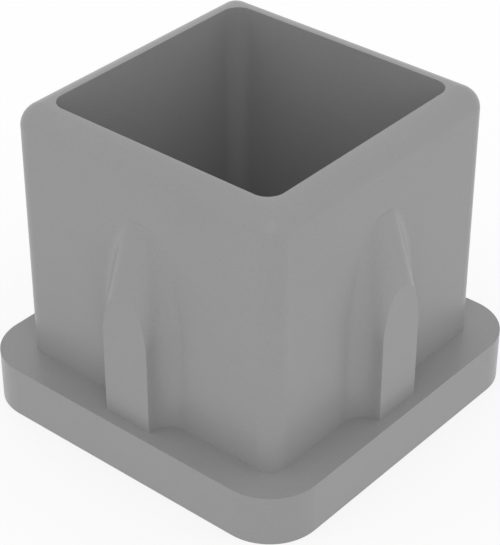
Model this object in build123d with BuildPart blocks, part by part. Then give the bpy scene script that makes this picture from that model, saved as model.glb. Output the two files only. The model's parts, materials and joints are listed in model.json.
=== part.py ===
"""Moulded end cap for the end of a 30 x 30 mm square tube.

One piece: a square flange that covers the end of the tube, a hollow square
plug that goes inside it, and a press rib on the middle of each plug side.
Each rib has a flat outer face and hollow flanks that run out into the plug
wall.  Its nose slopes down into the wall so that the cap starts easily.

The flange lies on the XY plane with its outer face at z = 0.  The plug points
up along +Z and the origin is in the middle of the outer face.  Millimetres.
"""

import os
from math import asin, cos, sin

from build123d import *

# Flange: the part that stays in sight
flange_width = 30.0
flange_thickness = 4.2
flange_corner_radius = 4.2

# Plug: the hollow square that goes into the tube
plug_width = 24.4
plug_depth = 21.3
plug_corner_radius = 1.5
rim_radius = 1.75
wall_thickness = 1.9
bore_corner_radius = 1.4
floor_thickness = 2.5
floor_fillet_radius = 1.0

# Press ribs.  The flanks of a rib rise to a ridge, and the rib face cuts them off
rib_count = 4
rib_height = 1.85
rib_ridge_height = 3.04
rib_ridge_width = 1.0
rib_foot_width = 7.7
rib_root_overlap = 0.6

# Rib nose: the ridge falls in a straight line, and the foot closes in along an
# ellipse that would run on a little past the end of the nose
nose_start = 7.2
nose_length = 9.0
nose_overrun = 0.5
nose_end_ridge_height = 0.01
nose_steps = 4

# Sizes that follow from the ones above
overall_height = flange_thickness + plug_depth
bore_width = plug_width - 2 * wall_thickness
nose_ellipse_length = nose_length + nose_overrun
nose_end_angle = asin(nose_length / nose_ellipse_length)
nose_slope = (rib_ridge_height - nose_end_ridge_height) / nose_length


def rib_section(distance, ridge_height, foot_width):
    """Draw the plan of a rib on the plug side that faces -Y.

    The ridge is flat.  On each side of it an outward arc and an inward arc of
    the same radius meet half way down, and the inward arc runs out along the
    plug wall.

    Args:
        distance: how far above the flange the section lies.
        ridge_height: height of the ridge above the plug wall.
        foot_width: width of the rib where it meets the plug wall.

    Returns:
        The section as a sketch.
    """
    wall = -plug_width / 2
    inside = wall + rib_root_overlap
    ridge_end = (rib_ridge_width / 2, wall - ridge_height)
    half_way = ((rib_ridge_width + foot_width) / 4, wall - ridge_height / 2)
    foot = (foot_width / 2, wall)
    with BuildSketch(Plane.XY.offset(flange_thickness + distance)) as section:
        with BuildLine():
            Line((0, wall - ridge_height), ridge_end)
            outward = TangentArc(ridge_end, half_way, tangent=(1, 0))
            TangentArc(half_way, foot, tangent=outward % 1)
            Line(foot, (foot_width / 2, inside))
            Line((foot_width / 2, inside), (0, inside))
            mirror(about=Plane.YZ)
        make_face()
    return section.sketch


def nose_section(angle):
    """Draw the plan of a rib at one place along its nose.

    Args:
        angle: how far round the ellipse of the foot the section lies, in
            radians, with 0 where the nose starts.

    Returns:
        The section as a sketch.
    """
    along = nose_ellipse_length * sin(angle)
    return rib_section(
        nose_start + along,
        rib_ridge_height - nose_slope * along,
        rib_foot_width * cos(angle),
    )


# One press rib: a straight length up to the nose, the nose, and the flat face
shank = rib_section(0, rib_ridge_height, rib_foot_width)
nose = [nose_section(nose_end_angle * step / nose_steps) for step in range(nose_steps + 1)]
rib_face = Plane((0, -plug_width / 2 - rib_height, 0), x_dir=(1, 0, 0), z_dir=(0, -1, 0))

with BuildPart() as rib:
    extrude(shank, amount=nose_start)
    loft(nose)
    split(bisect_by=rib_face, keep=Keep.BOTTOM)

# The cap: flange, plug, hollow and ribs in one moulding
with BuildPart() as end_cap:
    with BuildSketch(Plane.XY):
        RectangleRounded(flange_width, flange_width, flange_corner_radius)
    extrude(amount=flange_thickness)

    with BuildSketch(Plane.XY.offset(flange_thickness)):
        RectangleRounded(plug_width, plug_width, plug_corner_radius)
    extrude(amount=plug_depth)
    rim = end_cap.faces().sort_by(Axis.Z)[-1]
    fillet(rim.outer_wire().edges(), radius=rim_radius)

    with BuildSketch(Plane.XY.offset(floor_thickness)):
        RectangleRounded(bore_width, bore_width, bore_corner_radius)
    extrude(amount=overall_height - floor_thickness, mode=Mode.SUBTRACT)
    bore_floor = end_cap.faces().filter_by(Axis.Z).group_by(Axis.Z)[1]
    fillet(bore_floor.edges(), radius=floor_fillet_radius)

    with PolarLocations(0, rib_count):
        add(rib.part)

end_cap.part.label = "end_cap"

os.makedirs("parts", exist_ok=True)
export_step(end_cap.part, "parts/end_cap.step")
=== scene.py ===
"""Looks of the square tube end cap: one grey moulding on a lit white table.

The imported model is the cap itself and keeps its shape.  This script gives it the
finish of moulded polypropylene, and sets the table, the surround, the lamp and the
camera.  Lengths are in metres unless a name says millimetres.
"""

import json
import logging
import math
from dataclasses import dataclass, field
from enum import Enum
from typing import Any

import bpy
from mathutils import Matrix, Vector

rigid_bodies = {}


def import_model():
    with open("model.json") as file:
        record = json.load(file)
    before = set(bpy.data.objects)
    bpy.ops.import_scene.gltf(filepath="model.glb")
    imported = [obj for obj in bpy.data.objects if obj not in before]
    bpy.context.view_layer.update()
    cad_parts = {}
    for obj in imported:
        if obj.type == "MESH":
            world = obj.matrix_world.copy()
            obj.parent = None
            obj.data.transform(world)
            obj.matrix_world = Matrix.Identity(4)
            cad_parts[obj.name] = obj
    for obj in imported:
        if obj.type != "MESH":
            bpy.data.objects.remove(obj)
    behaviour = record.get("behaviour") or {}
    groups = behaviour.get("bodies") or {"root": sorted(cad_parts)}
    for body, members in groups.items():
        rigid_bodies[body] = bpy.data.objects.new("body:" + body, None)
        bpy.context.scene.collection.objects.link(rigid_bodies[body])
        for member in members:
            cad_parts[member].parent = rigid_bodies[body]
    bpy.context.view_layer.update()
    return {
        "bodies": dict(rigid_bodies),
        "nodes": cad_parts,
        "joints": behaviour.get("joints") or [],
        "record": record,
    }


logging.basicConfig(level=logging.INFO, format="%(name)s: %(message)s")
log = logging.getLogger("end_cap")

Socket = bpy.types.NodeSocket
Tree = bpy.types.NodeTree

MM = 0.001
WHITE = "FFFFFF"

# The Mix node repeats its socket names for each kind of data.  These are for colours
MIX_FIRST_COLOUR = 6
MIX_SECOND_COLOUR = 7
MIX_COLOUR_RESULT = 2


class Grain(Enum):
    """Patterns in the moulding, each with the size of one grain in millimetres."""

    PIGMENT = 5.0
    SATIN = 1.1
    # The real spark grain is about 0.05 mm, too fine to show, so it is drawn coarser
    SPARK = 0.16

    @property
    def scale(self) -> float:
        """Scale of the pattern's noise, for coordinates in metres."""
        return 1 / (self.value * MM)


class SeenRay(Enum):
    """Rays that show what they hit, unlike diffuse rays, which only bring its light."""

    CAMERA = "Is Camera Ray"
    GLOSSY = "Is Glossy Ray"
    TRANSMISSION = "Is Transmission Ray"


def linear(hex_colour: str) -> tuple[float, float, float, float]:
    """Turn an sRGB hex colour into a linear one.

    Args:
        hex_colour: six hex digits.

    Returns:
        Red, green, blue and alpha, as Blender's colour sockets take them.
    """
    # The sRGB curve is a straight line near black and a power curve above it
    channels = [int(hex_colour[i : i + 2], 16) / 255 for i in (0, 2, 4)]
    red, green, blue = (
        c / 12.92 if c <= 0.04045 else ((c + 0.055) / 1.055) ** 2.4 for c in channels
    )
    return (red, green, blue, 1.0)


def clear_tree(owner: bpy.types.Material | bpy.types.World) -> Tree:
    """Empty the node tree of a material or world.

    Args:
        owner: the material or world.

    Returns:
        Its node tree, with nothing in it.
    """
    owner.use_nodes = True
    owner.node_tree.nodes.clear()
    return owner.node_tree


def add_node(
    tree: Tree, kind: str, inputs: dict[str | int, Any] | None = None, **settings: Any
) -> bpy.types.Node:
    """Add a shader node with its settings, values and links.

    Args:
        tree: the node tree that the node goes into.
        kind: Blender's name for the node type.
        inputs: socket name, or number where names repeat, to a value or to the
            output socket that it is linked to.
        **settings: properties of the node itself.

    Returns:
        The new node.
    """
    node = tree.nodes.new(kind)
    for name, value in settings.items():
        setattr(node, name, value)
    for key, value in (inputs or {}).items():
        socket = node.inputs[key]
        if isinstance(value, Socket):
            tree.links.new(value, socket)
        else:
            socket.default_value = value
    return node


def add_strength(tree: Tree, as_light: float, as_seen: float) -> Socket:
    """Give a glow one strength for what it lights and another for how it looks.

    Args:
        tree: the node tree that the nodes go into.
        as_light: strength for diffuse rays.
        as_seen: strength for camera, glossy and transmission rays.

    Returns:
        The socket that holds the strength.
    """
    path = add_node(tree, "ShaderNodeLightPath")
    seen = path.outputs[SeenRay.CAMERA.value]
    for ray in (SeenRay.GLOSSY, SeenRay.TRANSMISSION):
        inputs = {0: seen, 1: path.outputs[ray.value]}
        seen = add_node(tree, "ShaderNodeMath", inputs, operation="MAXIMUM").outputs["Value"]
    strength = add_node(
        tree, "ShaderNodeMapRange", {"Value": seen, "To Min": as_light, "To Max": as_seen}
    )
    return strength.outputs["Result"]


@dataclass(frozen=True)
class MouldedPolypropylene:
    """Grey polypropylene, injection moulded in a finely spark-eroded tool.

    The eye sees an even mid grey with a soft satin sheen, a trace of cloudiness in
    the pigment, and from close by a fine grain.  The pits of the grain get painted
    shade, a slightly darker base colour where shade would fall.  The grain weakens the
    mirror part of the sheen, so the specular level is under the 0.5 of a polished skin.
    """

    name: str = "moulded_polypropylene_grey"
    ior: float = 1.49
    specular_level: float = 0.3

    # Pigment
    light_grey: str = "A5A5A5"
    dark_grey: str = "A1A1A1"
    pigment_detail: float = 2.0
    pigment_roughness: float = 0.5

    # Satin: shader roughness, between two levels of its noise
    roughness_low: float = 0.28
    roughness_high: float = 0.34
    patch_low: float = 0.3
    patch_high: float = 0.7
    patch_detail: float = 3.0
    patch_roughness: float = 0.6

    # Grain: its relief, the painted shade in its pits, and the levels of its noise where a
    # pit starts and ends
    grain_height_mm: float = 0.0015
    grain_detail: float = 2.0
    grain_roughness: float = 0.55
    # Painted shade, multiplied into the base colour at the bottoms of the grain's pits
    painted_shade_colour: str = "FAFAFA"
    pit_edge: float = 0.55
    pit_bottom: float = 0.35

    def build(self) -> bpy.types.Material:
        """Build the material.

        Returns:
            The finished material.
        """
        material = bpy.data.materials.new(self.name)
        tree = clear_tree(material)
        place = add_node(tree, "ShaderNodeTexCoord").outputs["Object"]
        spark = self.add_spark(tree, place)
        shader = add_node(
            tree,
            "ShaderNodeBsdfPrincipled",
            {
                "Base Color": self.add_pigment_and_painted_shade(tree, place, spark),
                "Roughness": self.add_satin(tree, place),
                "IOR": self.ior,
                "Specular IOR Level": self.specular_level,
                "Normal": self.add_skin(tree, spark),
            },
        )
        add_node(tree, "ShaderNodeOutputMaterial", {"Surface": shader.outputs["BSDF"]})
        return material

    def add_spark(self, tree: Tree, place: Socket) -> Socket:
        """Add the relief that the spark-eroded tool left.

        Args:
            tree: the node tree that the nodes go into.
            place: where on the cap a point is.

        Returns:
            The socket that holds the height of the skin.
        """
        spark = add_node(
            tree,
            "ShaderNodeTexNoise",
            {
                "Vector": place,
                "Scale": Grain.SPARK.scale,
                "Detail": self.grain_detail,
                "Roughness": self.grain_roughness,
            },
        )
        return spark.outputs["Fac"]

    def add_pigment_and_painted_shade(self, tree: Tree, place: Socket, spark: Socket) -> Socket:
        """Add the grey of the plastic.

        Its pigment did not mix quite evenly as the melt flowed.  The pits of the skin
        get painted shade: the colour is made slightly darker there, where shade would fall.

        Args:
            tree: the node tree that the nodes go into.
            place: where on the cap a point is.
            spark: height of the skin.

        Returns:
            The socket that holds the colour.
        """
        cloud = add_node(
            tree,
            "ShaderNodeTexNoise",
            {
                "Vector": place,
                "Scale": Grain.PIGMENT.scale,
                "Detail": self.pigment_detail,
                "Roughness": self.pigment_roughness,
            },
        )
        grey = add_node(
            tree,
            "ShaderNodeMix",
            {
                "Factor": cloud.outputs["Fac"],
                MIX_FIRST_COLOUR: linear(self.dark_grey),
                MIX_SECOND_COLOUR: linear(self.light_grey),
            },
            data_type="RGBA",
        )
        # Painted shade: the grey is multiplied by a slightly darker grey in the pits of the
        # spark grain
        painted_shade_amount = add_node(
            tree,
            "ShaderNodeMapRange",
            {"Value": spark, "From Min": self.pit_edge, "From Max": self.pit_bottom},
        )
        grey_with_painted_shade = add_node(
            tree,
            "ShaderNodeMix",
            {
                "Factor": painted_shade_amount.outputs["Result"],
                MIX_FIRST_COLOUR: grey.outputs[MIX_COLOUR_RESULT],
                MIX_SECOND_COLOUR: linear(self.painted_shade_colour),
            },
            data_type="RGBA",
            blend_type="MULTIPLY",
        )
        return grey_with_painted_shade.outputs[MIX_COLOUR_RESULT]

    def add_satin(self, tree: Tree, place: Socket) -> Socket:
        """Add the roughness, with patches where the skin copied the tool less well.

        Args:
            tree: the node tree that the nodes go into.
            place: where on the cap a point is.

        Returns:
            The socket that holds the roughness.
        """
        patch = add_node(
            tree,
            "ShaderNodeTexNoise",
            {
                "Vector": place,
                "Scale": Grain.SATIN.scale,
                "Detail": self.patch_detail,
                "Roughness": self.patch_roughness,
            },
        )
        roughness = add_node(
            tree,
            "ShaderNodeMapRange",
            {
                "Value": patch.outputs["Fac"],
                "From Min": self.patch_low,
                "From Max": self.patch_high,
                "To Min": self.roughness_low,
                "To Max": self.roughness_high,
            },
        )
        return roughness.outputs["Result"]

    def add_skin(self, tree: Tree, spark: Socket) -> Socket:
        """Add the bump of the skin, much shallower than the grain is wide.

        Args:
            tree: the node tree that the nodes go into.
            spark: height of the skin.

        Returns:
            The socket that holds the normal.
        """
        skin = add_node(
            tree,
            "ShaderNodeBump",
            {"Height": spark, "Distance": self.grain_height_mm * MM},
        )
        return skin.outputs["Normal"]


@dataclass(frozen=True)
class OpalAcrylic:
    """Opal white acrylic of a light table, lit from below.

    The eye sees plain white with a faint soft shadow where the cap stands.  The
    acrylic scatters some of the light that falls on it and glows as well, and the
    two together come to white.
    """

    name: str = "opal_acrylic_light_table"
    scatter_grey: str = "A0A0A0"
    seen_glow: float = 0.72
    lighting_glow: float = 0.42

    def build(self) -> bpy.types.Material:
        """Build the material.

        Returns:
            The finished material.
        """
        material = bpy.data.materials.new(self.name)
        tree = clear_tree(material)
        matt = add_node(tree, "ShaderNodeBsdfDiffuse", {"Color": linear(self.scatter_grey)})
        glow = add_node(
            tree,
            "ShaderNodeEmission",
            {
                "Color": linear(WHITE),
                "Strength": add_strength(tree, self.lighting_glow, self.seen_glow),
            },
        )
        both = add_node(
            tree,
            "ShaderNodeAddShader",
            {0: matt.outputs["BSDF"], 1: glow.outputs["Emission"]},
        )
        add_node(tree, "ShaderNodeOutputMaterial", {"Surface": both.outputs["Shader"]})
        return material


@dataclass
class EndCap:
    """The cap: one moulding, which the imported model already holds."""

    node: str = "end_cap"
    finish: MouldedPolypropylene = field(default_factory=MouldedPolypropylene)

    def dress(self, frame: dict[str, Any]) -> None:
        """Give the moulding its finish.
        """
        moulding = frame["nodes"][self.node]
        material = self.finish.build()
        for slot in moulding.material_slots:
            slot.material = material
        log.info("%s in %s", moulding.name, material.name)


@dataclass(frozen=True)
class Bearing:
    """A direction out from the cap.

    The azimuth runs from -Y towards +X, and the elevation up from the table.
    """

    azimuth_deg: float
    elevation_deg: float

    def outward(self) -> Vector:
        """Give the direction as a vector.

        Returns:
            A unit vector that points from the cap to the lamp or camera.
        """
        azimuth = math.radians(self.azimuth_deg)
        elevation = math.radians(self.elevation_deg)
        return Vector(
            (
                math.sin(azimuth) * math.cos(elevation),
                -math.cos(azimuth) * math.cos(elevation),
                math.sin(elevation),
            )
        )

    def turn_back(self) -> tuple[float, float, float]:
        """Give the rotation of a lamp or camera that looks back along the direction."""
        tilt = math.pi / 2 - math.radians(self.elevation_deg)
        return (tilt, 0.0, math.radians(self.azimuth_deg))


@dataclass
class SoftLamp:
    """Round softbox that stands beside the camera and fills the side facing it."""

    bearing: Bearing = Bearing(azimuth_deg=40.0, elevation_deg=34.0)
    distance: float = 0.6
    diameter: float = 0.48
    power: float = 0.27

    def build(self) -> None:
        """Hang the lamp and turn it to the cap."""
        bpy.ops.object.light_add(
            type="AREA",
            location=self.bearing.outward() * self.distance,
            rotation=self.bearing.turn_back(),
        )
        lamp = bpy.context.active_object
        lamp.name = "softbox"
        lamp.data.shape = "DISK"
        lamp.data.size = self.diameter
        lamp.data.energy = self.power
        log.info("softbox of %.2f W", self.power)


@dataclass
class Studio:
    """Light table, even white surround and one soft lamp.

    The surround looks plain white, and lights the cap a little less than that.
    """

    table_size: float = 4.0
    seen_strength: float = 1.0
    lighting_strength: float = 0.75
    acrylic: OpalAcrylic = field(default_factory=OpalAcrylic)
    lamp: SoftLamp = field(default_factory=SoftLamp)

    def build(self) -> None:
        """Lay the table top, set the surround and hang the lamp."""
        self.lay_table()
        self.set_surround()
        self.lamp.build()

    def lay_table(self) -> None:
        """Lay the top of the light table, level with the underside of the cap."""
        bpy.ops.object.select_all(action="DESELECT")
        bpy.ops.mesh.primitive_plane_add(size=self.table_size, location=(0, 0, 0))
        floor = bpy.context.active_object
        floor.name = "floor"
        floor.data.materials.append(self.acrylic.build())
        log.info("table top %.1f m square", self.table_size)

    def set_surround(self) -> None:
        """Put even white all round."""
        world = bpy.data.worlds.new("white_surround")
        bpy.context.scene.world = world
        tree = clear_tree(world)
        sky = add_node(
            tree,
            "ShaderNodeBackground",
            {
                "Color": linear(WHITE),
                "Strength": add_strength(tree, self.lighting_strength, self.seen_strength),
            },
        )
        add_node(tree, "ShaderNodeOutputWorld", {"Surface": sky.outputs["Background"]})
        log.info("surround of strength %.2f as light", self.lighting_strength)


@dataclass
class ViewPoint:
    """Where the cap is seen from, and through what lens."""

    bearing: Bearing = Bearing(azimuth_deg=40.267, elevation_deg=34.070)
    distance: float = 0.14675
    target: tuple[float, float, float] = (-0.000104, -0.000088, 0.010075)
    lens_mm: float = 127.382
    sensor_mm: float = 36.0
    clip_near: float = 0.01
    clip_far: float = 20.0

    def build(self) -> None:
        """Set up the camera and make it the scene's own."""
        place = Vector(self.target) + self.bearing.outward() * self.distance
        bpy.ops.object.camera_add(location=place, rotation=self.bearing.turn_back())
        camera = bpy.context.active_object
        camera.name = "camera"
        camera.data.lens = self.lens_mm
        camera.data.sensor_width = self.sensor_mm
        camera.data.clip_start = self.clip_near
        camera.data.clip_end = self.clip_far
        bpy.context.scene.camera = camera
        log.info("camera at %s", tuple(round(c, 4) for c in place))


def main() -> None:
    """Build the scene in order."""
    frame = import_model()
    bpy.context.scene.view_settings.view_transform = "Standard"
    EndCap().dress(frame)
    Studio().build()
    ViewPoint().build()


if __name__ == "__main__":
    main()
